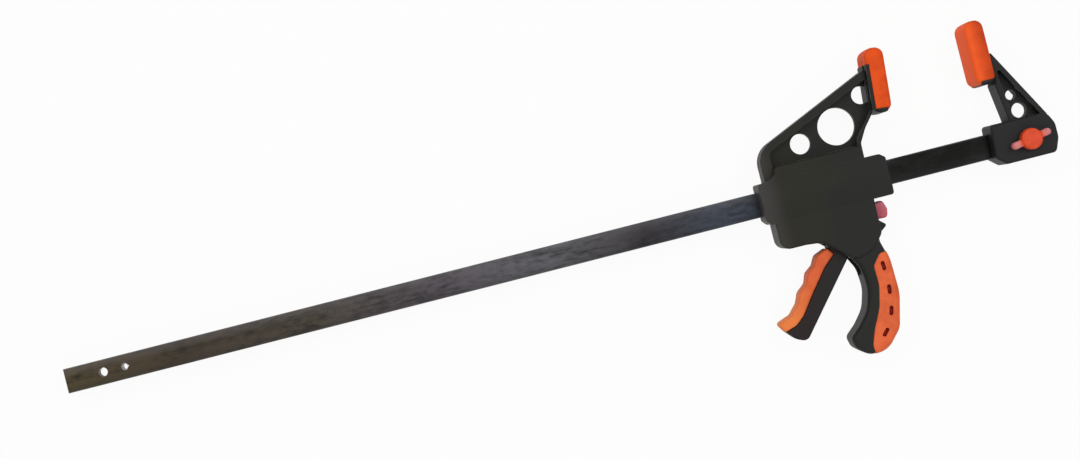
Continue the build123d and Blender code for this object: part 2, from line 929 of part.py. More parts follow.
def build_lock_pin():
    """Steel pin with two flats where it crosses the bar, and a groove for the ring."""
    low = -socket_width / 2 + clip_well_depth - clip_thickness - pin_tail - fit_clearance
    top = socket_width / 2 + knob_place_gap + lock_washer_thickness + knob_height / 2
    pin = rod((0, 0), lock_pin_radius, low, top)
    flat_zone = bar_side + fit_clearance
    for side in (-1, 1):
        inner = side * lock_flat_width / 2
        outer = side * 2 * lock_pin_radius
        pin -= block(
            (min(inner, outer), max(inner, outer)),
            (-lock_pin_radius, lock_pin_radius),
            (-flat_zone, flat_zone),
        )
    ring_low = clip_low()
    groove = rod((0, 0), 2 * lock_pin_radius, ring_low, ring_low + clip_thickness)
    groove -= rod((0, 0), lock_pin_radius - groove_depth, ring_low, ring_low + clip_thickness)
    return Pos(*lock_axis, 0) * (pin - groove)


def clip_low():
    """Lower face of the retaining ring."""
    return -socket_width / 2 + clip_well_depth - clip_thickness - fit_clearance


def build_lock_clip():
    """Open retaining ring at the pin's far end."""
    low = clip_low()
    ring = rod((0, 0), clip_radius, low, low + clip_thickness)
    ring -= rod((0, 0), lock_pin_radius - groove_depth, low - overrun, low + overrun)
    ring -= block(
        (0, 2 * clip_radius), (-clip_slit / 2, clip_slit / 2), (low - overrun, low + overrun)
    )
    return Pos(*lock_axis, 0) * ring


def build_lock_washer():
    """Washer between the socket and the knob."""
    low = socket_width / 2
    washer = rod(lock_axis, lock_washer_radius, low, low + lock_washer_thickness)
    return washer - rod(lock_axis, lock_pin_radius + moving_clearance, 0, panel_width)


def build_lock_knob():
    """Wing knob pressed on the pin's near end."""
    low = socket_width / 2 + knob_place_gap + lock_washer_thickness
    hub = rod((0, 0), knob_radius, low, low + knob_height)
    hub = fillet(hub.edges().group_by(Axis.Z)[-1], knob_dome)
    wing = Pos(0, 0, low + wing_height / 2) * Box(wing_span, wing_width, wing_height)
    wing = fillet(wing.edges().filter_by(Axis.Z), wing_width / 2 - fit_clearance)
    wing = fillet(wing.edges().group_by(Axis.Z)[-1], wing_edge)
    knob = hub + Rot(0, 0, wing_turn) * wing
    knob -= rod((0, 0), lock_pin_radius, 0, low + knob_height / 2)
    return Pos(*lock_axis, 0) * knob


builders = {
    "bar": build_bar,
    "stop_pin": build_stop_pin,
    "body_shell_front": build_body_shell_front,
    "body_shell_rear": build_body_shell_rear,
    "shell_screws": build_shell_screws,
    "movable_pad": build_movable_pad,
    "palm_grip_front": build_palm_grip_front,
    "palm_grip_rear": build_palm_grip_rear,
    "trigger": build_trigger,
    "trigger_grip": build_trigger_grip,
    "trigger_pivot_pin": build_trigger_pivot_pin,
    "drive_plate_1": build_drive_plate_1,
    "drive_plate_2": build_drive_plate_2,
    "spring_washer": build_spring_washer,
    "drive_spring": build_drive_spring,
    "brake_plate": build_brake_plate,
    "brake_pin": build_brake_pin,
    "brake_spring": build_brake_spring,
    "release_button": build_release_button,
    "fixed_jaw": build_fixed_jaw,
    "fixed_pad": build_fixed_pad,
    "lock_pin": build_lock_pin,
    "lock_clip": build_lock_clip,
    "lock_washer": build_lock_washer,
    "lock_knob": build_lock_knob,
}

pieces = {name: build() for name, build in builders.items()}

# The origin is under the middle of the whole clamp, on the surface that it lies on
boxes = [piece.bounding_box() for piece in pieces.values()]
left = min(box.min.X for box in boxes)
right = max(box.max.X for box in boxes)
front = min(box.min.Y for box in boxes)
back = max(box.max.Y for box in boxes)
bottom = min(box.min.Z for box in boxes)
origin = Pos(-(left + right) / 2, -(front + back) / 2, -bottom)

os.makedirs("parts", exist_ok=True)
for name, piece in pieces.items():
    export_step(origin * piece, "parts/" + name + ".step")

print("origin moved by", round((left + right) / 2, 3), round((front + back) / 2, 3), round(bottom, 3))
print("trigger pivot", pivot, "brake axis", brake_axis, "nose reach", nose_reach)
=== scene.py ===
"""Looks of a one-handed bar clamp that lies on its side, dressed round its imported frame."""
import logging
from dataclasses import dataclass, field, replace
from enum import Enum
from math import copysign, cos, pi, radians, sin
from typing import Any, Union

import bmesh
import bpy
from bmesh.types import BMEdge, BMVert
from bpy.types import ID, Material, Mesh, Node, NodeSocket, NodeTree, Object
from mathutils import Matrix, Vector


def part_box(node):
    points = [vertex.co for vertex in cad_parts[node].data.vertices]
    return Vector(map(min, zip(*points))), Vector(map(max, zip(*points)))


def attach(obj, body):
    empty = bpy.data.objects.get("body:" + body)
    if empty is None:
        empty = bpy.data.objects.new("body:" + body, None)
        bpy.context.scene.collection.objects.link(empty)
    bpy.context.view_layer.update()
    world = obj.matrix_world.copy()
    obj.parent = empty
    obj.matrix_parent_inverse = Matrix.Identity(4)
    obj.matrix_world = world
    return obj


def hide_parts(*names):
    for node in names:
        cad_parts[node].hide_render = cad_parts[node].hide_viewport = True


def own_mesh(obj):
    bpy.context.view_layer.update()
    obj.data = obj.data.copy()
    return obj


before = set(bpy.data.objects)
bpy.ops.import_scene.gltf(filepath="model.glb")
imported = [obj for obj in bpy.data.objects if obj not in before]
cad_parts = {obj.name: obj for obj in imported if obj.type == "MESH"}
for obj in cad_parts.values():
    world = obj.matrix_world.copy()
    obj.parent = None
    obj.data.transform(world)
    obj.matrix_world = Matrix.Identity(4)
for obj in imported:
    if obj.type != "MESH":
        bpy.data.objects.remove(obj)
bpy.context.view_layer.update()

log = logging.getLogger("clamp")
logging.basicConfig(level=logging.INFO, format="%(name)s: %(message)s")

Colour = tuple[float, float, float]
Span = tuple[float, float]
Number = Union[float, "Signal"]

# A millimetre in the frame's metres
MM = 0.001
# The bar's tail in the frame, on the bar's axis and on the clamp's middle plane
TAIL = Vector((-0.40945, 0.01829, 0.017))
NO_SHIFT = Vector((0.0, 0.0, 0.0))
EVEN = Vector((1.0, 1.0, 1.0))
WHITE = (1.0, 1.0, 1.0)
# The display curve: straight for the first steps, then a power of the shifted value
STRAIGHT_STEPS = 10
STRAIGHT_DIVISOR = 3295
CURVE_SHIFT = 0.055
CURVE_POWER = 2.4


def at(along: float, up: float, out: float = 0.0) -> Vector:
    """Place in metres, from millimetres along the bar from its tail, up to the jaw tips and out."""
    return TAIL + Vector((along, up, out)) * MM


def linear(step: int) -> float:
    """Linear value of a display step from 0 to 255."""
    curved = ((step / 255 + CURVE_SHIFT) / (1 + CURVE_SHIFT)) ** CURVE_POWER
    return curved if step > STRAIGHT_STEPS else step / STRAIGHT_DIVISOR


def tone(red: int, green: int, blue: int) -> Colour:
    """Linear colour of a tone written in display steps."""
    return linear(red), linear(green), linear(blue)


def dimmed(colour: Colour, factor: float) -> Colour:
    """The colour times a factor, with no part over 1."""
    return tuple(min(1.0, part * factor) for part in colour)


class Body(Enum):
    """Bodies of the frame that the scene's own pieces ride on."""

    BAR = "bar_and_fixed_jaw"
    HEAD = "head"
    TRIGGER = "trigger_lever"


class Slot(Enum):
    """Material slots of the record."""

    PAD = "orange_pad"
    GRIP = "orange_grip"
    SCREW = "plain_steel"
    SPRING = "spring_steel"


class Detail(Enum):
    """How many finer layers a noise has."""

    PLAIN = 1.0
    SOFT = 2.0
    RICH = 3.0
    BUSY = 4.0


@dataclass(frozen=True)
class Signal:
    """A value in a node tree. Python arithmetic on it adds Math nodes."""

    bench: "NodeBench"
    socket: NodeSocket

    def __add__(self, other: Number) -> "Signal":
        """Sum."""
        return self.bench.math("ADD", self, other)

    def __sub__(self, other: Number) -> "Signal":
        """Difference."""
        return self.bench.math("SUBTRACT", self, other)

    def __rsub__(self, other: Number) -> "Signal":
        """Difference from a plain number."""
        return self.bench.math("SUBTRACT", other, self)

    def __mul__(self, other: Number) -> "Signal":
        """Product."""
        return self.bench.math("MULTIPLY", self, other)

    def __truediv__(self, other: Number) -> "Signal":
        """Quotient."""
        return self.bench.math("DIVIDE", self, other)

    def __rtruediv__(self, other: Number) -> "Signal":
        """Quotient of a plain number."""
        return self.bench.math("DIVIDE", other, self)

    def __abs__(self) -> "Signal":
        """Size without its sign."""
        return self.bench.math("ABSOLUTE", self)

    __radd__ = __add__
    __rmul__ = __mul__

    def clipped(self) -> "Signal":
        """The value kept between 0 and 1."""
        return self.bench.math("MINIMUM", self.bench.math("MAXIMUM", self, 0.0), 1.0)

    def rise(self, low: float, high: float) -> "Signal":
        """Smooth rise from 0 at low to 1 at high.

        Args:
            low: value at which the rise starts.
            high: value at which it ends.

        Returns:
            The risen value.
        """
        inputs = {"Value": self, "From Min": low, "From Max": high}
        made = self.bench.node("ShaderNodeMapRange", {"interpolation_type": "SMOOTHSTEP"}, inputs)
        return Signal(self.bench, made.outputs["Result"])


class NodeBench:
    """A node tree, and the few calls that add nodes to it."""

    def __init__(self, tree: NodeTree) -> None:
        """Works on the given tree."""
        self.tree = tree

    def feed(self, socket: NodeSocket, value: Any) -> None:
        """Links something to a socket, or sets a plain value on it.

        Args:
            socket: the input to fill.
            value: a Signal, an output socket, a list of these, a number or a colour.
        """
        if isinstance(value, list):
            for part in value:
                self.feed(socket, part)
            return
        if isinstance(value, Signal):
            value = value.socket
        if isinstance(value, NodeSocket):
            self.tree.links.new(value, socket)
        elif isinstance(value, tuple) and socket.type == "RGBA":
            socket.default_value = (*value, 1.0)
        else:
            socket.default_value = value

    def node(self, kind: str, settings: dict[str, Any], inputs: dict[Any, Any]) -> Node:
        """Adds a node.

        Args:
            kind: the node's type.
            settings: its own settings, set first; "stops" holds a ramp's (place, colour) pairs.
            inputs: values or links of its sockets, by name or number.

        Returns:
            The new node.
        """
        made = self.tree.nodes.new(kind)
        for name, value in settings.items():
            if name != "stops":
                setattr(made, name, value)
                continue
            ramp = made.color_ramp.elements
            while len(ramp) < len(value):
                ramp.new(0.5)
            for element, (place, colour) in zip(ramp, value):
                element.position = place
                element.color = (*colour, 1.0)
        for name, value in inputs.items():
            self.feed(made.inputs[name], value)
        return made

    def math(self, operation: str, *values: Number) -> Signal:
        """Result of a new Math node, which does an operation on some values."""
        made = self.node("ShaderNodeMath", {"operation": operation}, dict(enumerate(values)))
        return Signal(self, made.outputs[0])

    def direct_view(self) -> Signal:
        """1 for rays that come from the camera, a mirror or a glass, and 0 for light on things.

        Returns:
            The value.
        """
        rays = self.node("ShaderNodeLightPath", {}, {}).outputs
        seen = Signal(self, rays["Is Camera Ray"])
        for name in ("Is Glossy Ray", "Is Transmission Ray"):
            seen = self.math("MAXIMUM", seen, Signal(self, rays[name]))
        return seen


class MaterialBench(NodeBench):
    """One material's tree, with its shader, coordinates, noises and blends."""

    EDGE_SAMPLES = 6
    EDGE_GAIN = 3.2

    def __init__(self, name: str) -> None:
        """Starts a material with its shader.

        Args:
            name: the material's name.
        """
        self.material = bpy.data.materials.new(name)
        self.material.use_nodes = True
        super().__init__(self.material.node_tree)
        self.shader = self.tree.nodes["Principled BSDF"]

    def vectors(self, operation: str, *values: Any) -> Any:
        """Outputs of a new Vector Math node, which does an operation on some values."""
        return self.node("ShaderNodeVectorMath", {"operation": operation}, dict(enumerate(values))).outputs

    def place(self, centre: Vector = NO_SHIFT, stretch: Vector = EVEN) -> NodeSocket:
        """Object coordinates, centred on a place and stretched.

        Args:
            centre: the place that becomes the origin.
            stretch: factor along each axis.

        Returns:
            The vector socket.
        """
        plain = self.node("ShaderNodeTexCoord", {}, {}).outputs["Object"]
        moved = self.vectors("SUBTRACT", plain, centre)[0]
        return self.vectors("MULTIPLY", moved, stretch)[0]

    def part_of(self, vector: NodeSocket, axis: str) -> Signal:
        """One part of a vector, X, Y or Z."""
        made = self.node("ShaderNodeSeparateXYZ", {}, {0: vector})
        return Signal(self, made.outputs[axis])

    def noise(self, vector: NodeSocket, size: float, detail: Detail = Detail.SOFT) -> Signal:
        """Cloudy noise around one half, read at a vector, with spots of a size in metres."""
        inputs = {"Vector": vector, "Scale": 1 / size, "Detail": detail.value}
        return Signal(self, self.node("ShaderNodeTexNoise", {}, inputs).outputs[0])

    def blend(self, share: Number, first: Any, second: Any) -> NodeSocket:
        """Colour between two colours or their sockets: share 0 gives the first, 1 the second."""
        made = self.node("ShaderNodeMix", {"data_type": "RGBA"}, {0: share, 6: first, 7: second})
        return made.outputs[2]

    def edges(self, radius: float) -> Signal:
        """How near a sharp edge is: 0 on flat faces and up to about 1 on an edge.

        Args:
            radius: how far from the edge it is felt.

        Returns:
            The value.
        """
        softened = self.node("ShaderNodeBevel", {"samples": self.EDGE_SAMPLES}, {"Radius": radius})
        plain = self.node("ShaderNodeNewGeometry", {}, {}).outputs["Normal"]
        alike = Signal(self, self.vectors("DOT_PRODUCT", softened.outputs[0], plain)["Value"])
        return ((1.0 - alike) * self.EDGE_GAIN).clipped()

    def bump(self, height: Number, depth: float) -> None:
        """Bumps the shader's surface by a height from 0 to 1, times a depth in metres."""
        made = self.node("ShaderNodeBump", {}, {"Height": height, "Distance": depth})
        self.feed(self.shader.inputs["Normal"], made.outputs[0])

    def finish(self, **inputs: Any) -> Material:
        """Fills the shader's sockets, named with underlines for spaces.

        Args:
            inputs: the values or links.

        Returns:
            The finished material.
        """
        for name, value in inputs.items():
            self.feed(self.shader.inputs[name.replace("_", " ")], value)
        return self.material


@dataclass(frozen=True)
class Finish:
    """A surface finish of its own name, from which materials are made."""

    name: str

    def make(self) -> Material:
        """Builds the material."""
        raise NotImplementedError


@dataclass(frozen=True)
class MouldedPlastic(Finish):
    """Dark moulded plastic: spark-eroded grain, cloudy tone, edges paler as worn plastic and painted
    highlight, and a seam between halves.
    """

    colour: Colour
    # Paler tone, for worn spots and for the painted highlight along the edges
    wear_and_highlight_tone: Colour
    warm: Colour
    seam: bool = False
    worn_end: float = 0.0
    worn_span: Span = (577 * MM, 596 * MM)
    gloss: float = 0.16
    grain: float = 0.9 * MM
    pits: float = 0.3 * MM
    relief: float = 0.05 * MM
    pit_share: float = 0.3
    cloud: float = 24 * MM
    patch: float = 60 * MM
    patch_span: Span = (0.45, 0.68)
    patch_share: float = 0.75
    cloud_weight: float = 0.7
    grain_weight: float = 0.5
    light: float = 0.38
    shade_factor: float = 0.45
    edge_reach: float = 0.9 * MM
    edge_breaks: float = 6 * MM
    edge_span: Span = (0.30, 0.62)
    edge_share: float = 0.70
    edge_rough: float = -0.10
    seam_span: Span = (0.10 * MM, 0.28 * MM)
    seam_tone: Colour = tone(8, 8, 8)
    seam_share: float = 0.8
    seam_depth: float = 4.0
    rough_low: float = 0.46
    rough_spread: float = 0.16

    def make(self) -> Material:
        """Builds the material.

        Returns:
            The plastic.
        """
        bench = MaterialBench(self.name)
        plain = bench.place()
        cloud = bench.noise(plain, self.cloud, Detail.RICH)
        patch = bench.noise(plain, self.patch, Detail.PLAIN).rise(*self.patch_span)
        grain = bench.noise(plain, self.grain, Detail.RICH)
        pits = bench.noise(plain, self.pits, Detail.PLAIN)
        edge = bench.edges(self.edge_reach) * bench.noise(plain, self.edge_breaks).rise(*self.edge_span)
        colour = bench.blend(patch * self.patch_share, self.colour, self.warm)
        shade = (cloud * self.cloud_weight + grain * self.grain_weight + self.light).clipped()
        colour = bench.blend(shade, dimmed(self.colour, self.shade_factor), colour)
        # Painted highlight and worn edges: the edges turn towards the paler tone
        colour = bench.blend(edge * self.edge_share, colour, self.wear_and_highlight_tone)
        if self.worn_end:
            unworn = bench.part_of(bench.place(TAIL), "X").rise(*self.worn_span)
            colour = bench.blend((1.0 - unworn) * self.worn_end, colour, self.wear_and_highlight_tone)
        height = grain * (1 - self.pit_share) + pits * self.pit_share
        if self.seam:
            gap = abs(bench.part_of(bench.place(TAIL), "Z"))
            line = 1.0 - gap.rise(*self.seam_span)
            colour = bench.blend(line * self.seam_share, colour, self.seam_tone)
            height = height - line * self.seam_depth
        bench.bump(height, self.relief)
        rough = grain * self.rough_spread + edge * self.edge_rough + self.rough_low
        return bench.finish(Base_Color=colour, Roughness=rough, Specular_IOR_Level=self.gloss)


@dataclass(frozen=True)
class SoftRubber(Finish):
    """Orange rubber: fine matt skin, cloudy tone, painted shade at its rims, and where asked a painted
    highlight towards the tail with painted shade away from it.
    """

    colour: Colour
    # Darker rubber tone, for the cloudy tone and specks and for the painted shade
    deep: Colour
    gloss: float = 0.18
    grain: float = 0.8 * MM
    relief: float = 0.035 * MM
    # Reach and share of the painted shade at the rims
    rim: float = 1.6 * MM
    rim_shade_share: float = 0.45
    cloud: float = 9 * MM
    cloud_span: Span = (0.35, 0.70)
    cloud_share: float = 0.35
    speck_span: Span = (0.62, 0.80)
    speck_share: float = 0.18
    # Painted highlight towards the tail and painted shade away from it, changing over the given span
    painted_highlight: Colour | None = None
    painted_highlight_share: float = 0.75
    highlight_to_shade_span: Span = (0.0, 0.0)
    painted_shade_share: float = 0.40
    rough_low: float = 0.49
    rough_spread: float = 0.18

    def make(self) -> Material:
        """Builds the material.

        Returns:
            The rubber.
        """
        bench = MaterialBench(self.name)
        plain = bench.place()
        cloud = bench.noise(plain, self.cloud, Detail.RICH).rise(*self.cloud_span)
        grain = bench.noise(plain, self.grain, Detail.RICH)
        # Painted shade: the rims darkened towards the darker tone
        rim = bench.edges(self.rim)
        colour = bench.blend(cloud * self.cloud_share, self.colour, self.deep)
        colour = bench.blend(rim * self.rim_shade_share, colour, self.deep)
        # Painted highlight towards the tail, painted shade away from it
        if self.painted_highlight:
            shade_rise = bench.part_of(bench.place(TAIL), "X").rise(*self.highlight_to_shade_span)
            colour = bench.blend((1.0 - shade_rise) * self.painted_highlight_share, colour, self.painted_highlight)
            colour = bench.blend(shade_rise * self.painted_shade_share, colour, self.deep)
        colour = bench.blend(grain.rise(*self.speck_span) * self.speck_share, colour, self.deep)
        bench.bump(grain, self.relief)
        rough = grain * self.rough_spread + self.rough_low
        return bench.finish(Base_Color=colour, Roughness=rough, Specular_IOR_Level=self.gloss)


@dataclass(frozen=True)
class SmoothPlastic(Finish):
    """Bright smooth plastic, with painted highlight that makes it paler away from its middle and along its
    edges.
    """

    colour: Colour
    # Paler tone of the painted highlight
    outer: Colour
    centre: Vector
    painted_highlight_span: Span
    gloss: float = 0.5
    fine: float = 0.5 * MM
    relief: float = 0.02 * MM
    cloud: float = 5 * MM
    cloud_span: Span = (0.40, 0.75)
    cloud_share: float = 0.30
    cloud_factor: float = 0.55
    edge_reach: float = 0.5 * MM
    edge_share: float = 0.30
    rough_low: float = 0.24
    rough_spread: float = 0.20

    def make(self) -> Material:
        """Builds the material.

        Returns:
            The plastic.
        """
        bench = MaterialBench(self.name)
        # Painted highlight: paler away from the middle
        reach = bench.vectors("LENGTH", bench.place(self.centre))["Value"]
        outer = Signal(bench, reach).rise(*self.painted_highlight_span)
        plain = bench.place()
        cloud = bench.noise(plain, self.cloud, Detail.RICH)
        fine = bench.noise(plain, self.fine, Detail.SOFT)
        colour = bench.blend(outer, self.colour, self.outer)
        dark = dimmed(self.colour, self.cloud_factor)
        colour = bench.blend(cloud.rise(*self.cloud_span) * self.cloud_share, colour, dark)
        # Painted highlight along the edges
        colour = bench.blend(bench.edges(self.edge_reach) * self.edge_share, colour, self.outer)
        bench.bump(fine, self.relief)
        rough = cloud * self.rough_spread + self.rough_low
        return bench.finish(Base_Color=colour, Roughness=rough, Specular_IOR_Level=self.gloss)


@dataclass(frozen=True)
class Streak:
    """Noise drawn out along the bar, with its weight in the mottling."""

    narrowing: float
    size: float
    detail: Detail
    weight: float

    def laid(self, bench: MaterialBench) -> Signal:
        """Adds the noise to a material."""
        return bench.noise(bench.place(TAIL, Vector((self.narrowing, 1, 1))), self.size, self.detail)


@dataclass(frozen=True)
class OiledSteel(Finish):
    """The bar's dark oiled steel: grain along the bar, a tone along it that is partly its own and partly
    painted reflection, painted light towards its upper side, painted shade towards its lower side, and
    edges paler as worn steel and painted highlight.
    """

    # Tone stops along the bar: partly the steel's own tone, partly painted reflection
    stops: tuple[tuple[float, Colour], ...]
    wear_and_highlight_tone: Colour
    soot: Colour = tone(20, 20, 19)
    # Colour of the painted shade towards the lower side
    bottom_shade_colour: Colour = tone(34, 34, 36)
    length: float = 813 * MM
    lines: Streak = Streak(0.02, 0.5 * MM, Detail.BUSY, 0.55)
    bands: Streak = Streak(0.03, 4 * MM, Detail.SOFT, 0.35)
    spots: Streak = Streak(0.35, 14 * MM, Detail.BUSY, 0.55)
    flecks: Streak = Streak(0.45, 3.5 * MM, Detail.RICH, 0.60)
    contrast: float = 2.6
    light: float = 0.80
    # Painted light towards the upper side, fading out near the head, and painted shade towards the lower
    # side
    painted_top_light_span: Span = (1 * MM, 9 * MM)
    painted_top_light_end: Span = (640 * MM, 700 * MM)
    painted_top_light_share: float = 0.16
    painted_bottom_shade_span: Span = (-9 * MM, -2 * MM)
    painted_bottom_shade_share: float = 0.30
    # Paler edges and top and bottom rims: worn steel and painted highlight
    edge_reach: float = 0.7 * MM
    edge_weight: float = 0.8
    rim_span: Span = (9.0 * MM, 9.7 * MM)
    rim_weight: float = 0.5
    edge_pale_breaks: float = 20 * MM
    edge_pale_span: Span = (0.25, 0.60)
    wear_and_highlight_share: float = 0.6
    relief: float = 0.02 * MM
    rough_low: float = 0.22
    rough_lines: float = 0.20
    rough_spots: float = 0.18
    metal: float = 0.85
    gloss: float = 0.5

    def make(self) -> Material:
        """Builds the material.

        Returns:
            The steel.
        """
        bench = MaterialBench(self.name)
        from_tail = bench.place(TAIL)
        along = bench.part_of(from_tail, "X")
        across = bench.part_of(from_tail, "Y")
        # Tone along the bar, partly the steel's own and partly painted reflection
        tone_and_reflection = bench.node("ShaderNodeValToRGB", {"stops": self.stops}, {0: along / self.length})
        streaks = (self.lines, self.bands, self.spots, self.flecks)
        lines, bands, spots, flecks = (streak.laid(bench) for streak in streaks)
        mottle = lines * self.lines.weight + bands * self.bands.weight
        mottle = mottle + spots * self.spots.weight + flecks * self.flecks.weight
        mottle = mottle - sum(streak.weight for streak in streaks) / 2
        shade = (mottle * self.contrast + self.light).clipped()
        colour = bench.blend(shade, self.soot, tone_and_reflection.outputs[0])
        # Painted light towards the upper side of the bar
        painted_top_light = across.rise(*self.painted_top_light_span) * (1.0 - along.rise(*self.painted_top_light_end))
        colour = bench.blend(painted_top_light * self.painted_top_light_share, colour, self.wear_and_highlight_tone)
        # Painted shade towards the lower side of the bar
        dull = 1.0 - across.rise(*self.painted_bottom_shade_span)
        colour = bench.blend(dull * self.painted_bottom_shade_share, colour, self.bottom_shade_colour)
        # Worn steel and painted highlight on the edges and the top and bottom rims
        rim = abs(across).rise(*self.rim_span)
        edge = (bench.edges(self.edge_reach) * self.edge_weight + rim * self.rim_weight).clipped()
        edge_wear_and_highlight = edge * bench.noise(from_tail, self.edge_pale_breaks, Detail.RICH).rise(*self.edge_pale_span)
        colour = bench.blend(edge_wear_and_highlight * self.wear_and_highlight_share, colour, self.wear_and_highlight_tone)
        bench.bump(lines, self.relief)
        rough = lines * self.rough_lines + spots * self.rough_spots + self.rough_low
        return bench.finish(
            Base_Color=colour, Roughness=rough, Metallic=self.metal, Specular_IOR_Level=self.gloss
        )


@dataclass(frozen=True)
class TurnedSteel(Finish):
    """Plain steel of pins, plates, washers and springs: fine tool marks, a little oil and dull spots."""

    colour: Colour
    oil: Colour
    marks: Vector
    mark_size: float = 0.4 * MM
    relief: float = 0.012 * MM
    spot_size: float = 3.5 * MM
    oil_span: Span = (0.42, 0.72)
    oil_share: float = 0.7
    edge_reach: float = 0.4 * MM
    edge_share: float = 0.5
    edge_factor: float = 1.6
    rough_low: float = 0.15
    rough_marks: float = 0.18
    rough_spots: float = 0.20

    def make(self) -> Material:
        """Builds the material.

        Returns:
            The steel.
        """
        bench = MaterialBench(self.name)
        lines = bench.noise(bench.place(TAIL, self.marks), self.mark_size, Detail.RICH)
        spots = bench.noise(bench.place(), self.spot_size, Detail.BUSY)
        edge = bench.edges(self.edge_reach)
        colour = bench.blend(spots.rise(*self.oil_span) * self.oil_share, self.colour, self.oil)
        colour = bench.blend(edge * self.edge_share, colour, dimmed(self.colour, self.edge_factor))
        bench.bump(lines, self.relief)
        rough = lines * self.rough_marks + spots * self.rough_spots + self.rough_low
        return bench.finish(Base_Color=colour, Roughness=rough, Metallic=1.0)


@dataclass(frozen=True)
class PaleFloor(Finish):
    """Pale floor that the camera and mirrors see nearly white, with the clamp's soft shadow."""

    colour: Colour = tone(228, 228, 226)
    roughness: float = 0.9
    gloss: float = 0.1
    white_share: float = 0.94

    def make(self) -> Material:
        """Builds the material.

        Returns:
            The floor's paint.
        """
        bench = MaterialBench(self.name)
        glow = bench.node("ShaderNodeEmission", {}, {"Color": WHITE})
        bench.finish(Base_Color=self.colour, Roughness=self.roughness, Specular_IOR_Level=self.gloss)
        white = bench.direct_view() * self.white_share
        parts = {0: white, 1: bench.shader.outputs[0], 2: glow.outputs[0]}
        mixed = bench.node("ShaderNodeMixShader", {}, parts)
        output = next(node for node in bench.tree.nodes if node.type == "OUTPUT_MATERIAL")
        bench.feed(output.inputs["Surface"], mixed.outputs[0])
        return bench.material


PLASTIC = MouldedPlastic(
    "body_plastic", tone(27, 28, 25), tone(86, 81, 80), tone(33, 32, 21), seam=True, worn_end=0.34
)
JAW_PLASTIC = MouldedPlastic(
    "jaw_plastic", tone(26, 26, 26), tone(84, 84, 84), tone(36, 32, 29), seam=True
)
LEVER_PLASTIC = MouldedPlastic("lever_plastic", tone(28, 24, 25), tone(78, 74, 74), tone(34, 25, 22))
PAD_RUBBER = SoftRubber("pad_rubber", tone(230, 82, 26), tone(158, 52, 20), gloss=0.10, rim_shade_share=0.35)
# Fixed pad: painted highlight on its left part near the clamping face, painted shade towards its back
FIXED_PAD_RUBBER = replace(
    PAD_RUBBER, name="fixed_pad_rubber", painted_highlight=tone(252, 100, 44), highlight_to_shade_span=(766 * MM, 779 * MM)
)
GRIP_RUBBER = SoftRubber("grip_rubber", tone(228, 104, 58), tone(160, 60, 30))
# Trigger strip: painted highlight towards its tail end and a light painted shade away from it
STRIP_RUBBER = replace(
    GRIP_RUBBER,
    name="strip_rubber",
    painted_highlight=tone(236, 134, 66),
    highlight_to_shade_span=(574 * MM, 604 * MM),
    painted_shade_share=0.18,
)
# Painted shade: dark red for the floors of the palm slots
SLOT_SHADE_RUBBER = SoftRubber("slot_rubber", tone(120, 16, 10), tone(84, 8, 6))
# Release button: paler pink away from its middle and on its edges as painted highlight
BUTTON_PLASTIC = SmoothPlastic(
    "button_plastic", tone(166, 40, 62), tone(200, 92, 108), at(662.5, -31.0), (6 * MM, 16 * MM)
)
# Lock knob: paler pink towards the wing ends and on its edges as painted highlight
KNOB_PLASTIC = SmoothPlastic(
    "knob_plastic",
    tone(220, 68, 22),
    tone(206, 122, 120),
    at(795.4, -1.8, 19.0),
    (8.2 * MM, 12.2 * MM),
    gloss=0.22,
)
# Tone stops along the bar, partly the steel's own tone and partly painted reflection
BAR_STEEL = OiledSteel(
    "bar_steel",
    (
        (0.00, tone(66, 57, 39)),
        (0.12, tone(56, 48, 39)),
        (0.25, tone(65, 59, 51)),
        (0.38, tone(72, 67, 72)),
        (0.49, tone(83, 82, 86)),
        (0.59, tone(46, 43, 46)),
        (0.67, tone(53, 58, 68)),
        (0.85, tone(4, 3, 2)),
        (1.00, tone(5, 4, 3)),
    ),
    tone(112, 110, 114),
)
PLATE_STEEL = TurnedSteel("plate_steel", tone(150, 150, 152), tone(96, 92, 84), Vector((1, 1, 0.05)))
PIN_STEEL = TurnedSteel("pin_steel", tone(120, 118, 116), tone(70, 66, 60), Vector((1, 1, 0.4)))
WIRE_STEEL = TurnedSteel("wire_steel", tone(140, 140, 144), tone(86, 82, 78), Vector((0.2, 1, 1)))
FLOOR_PAINT = PaleFloor("pale_floor")


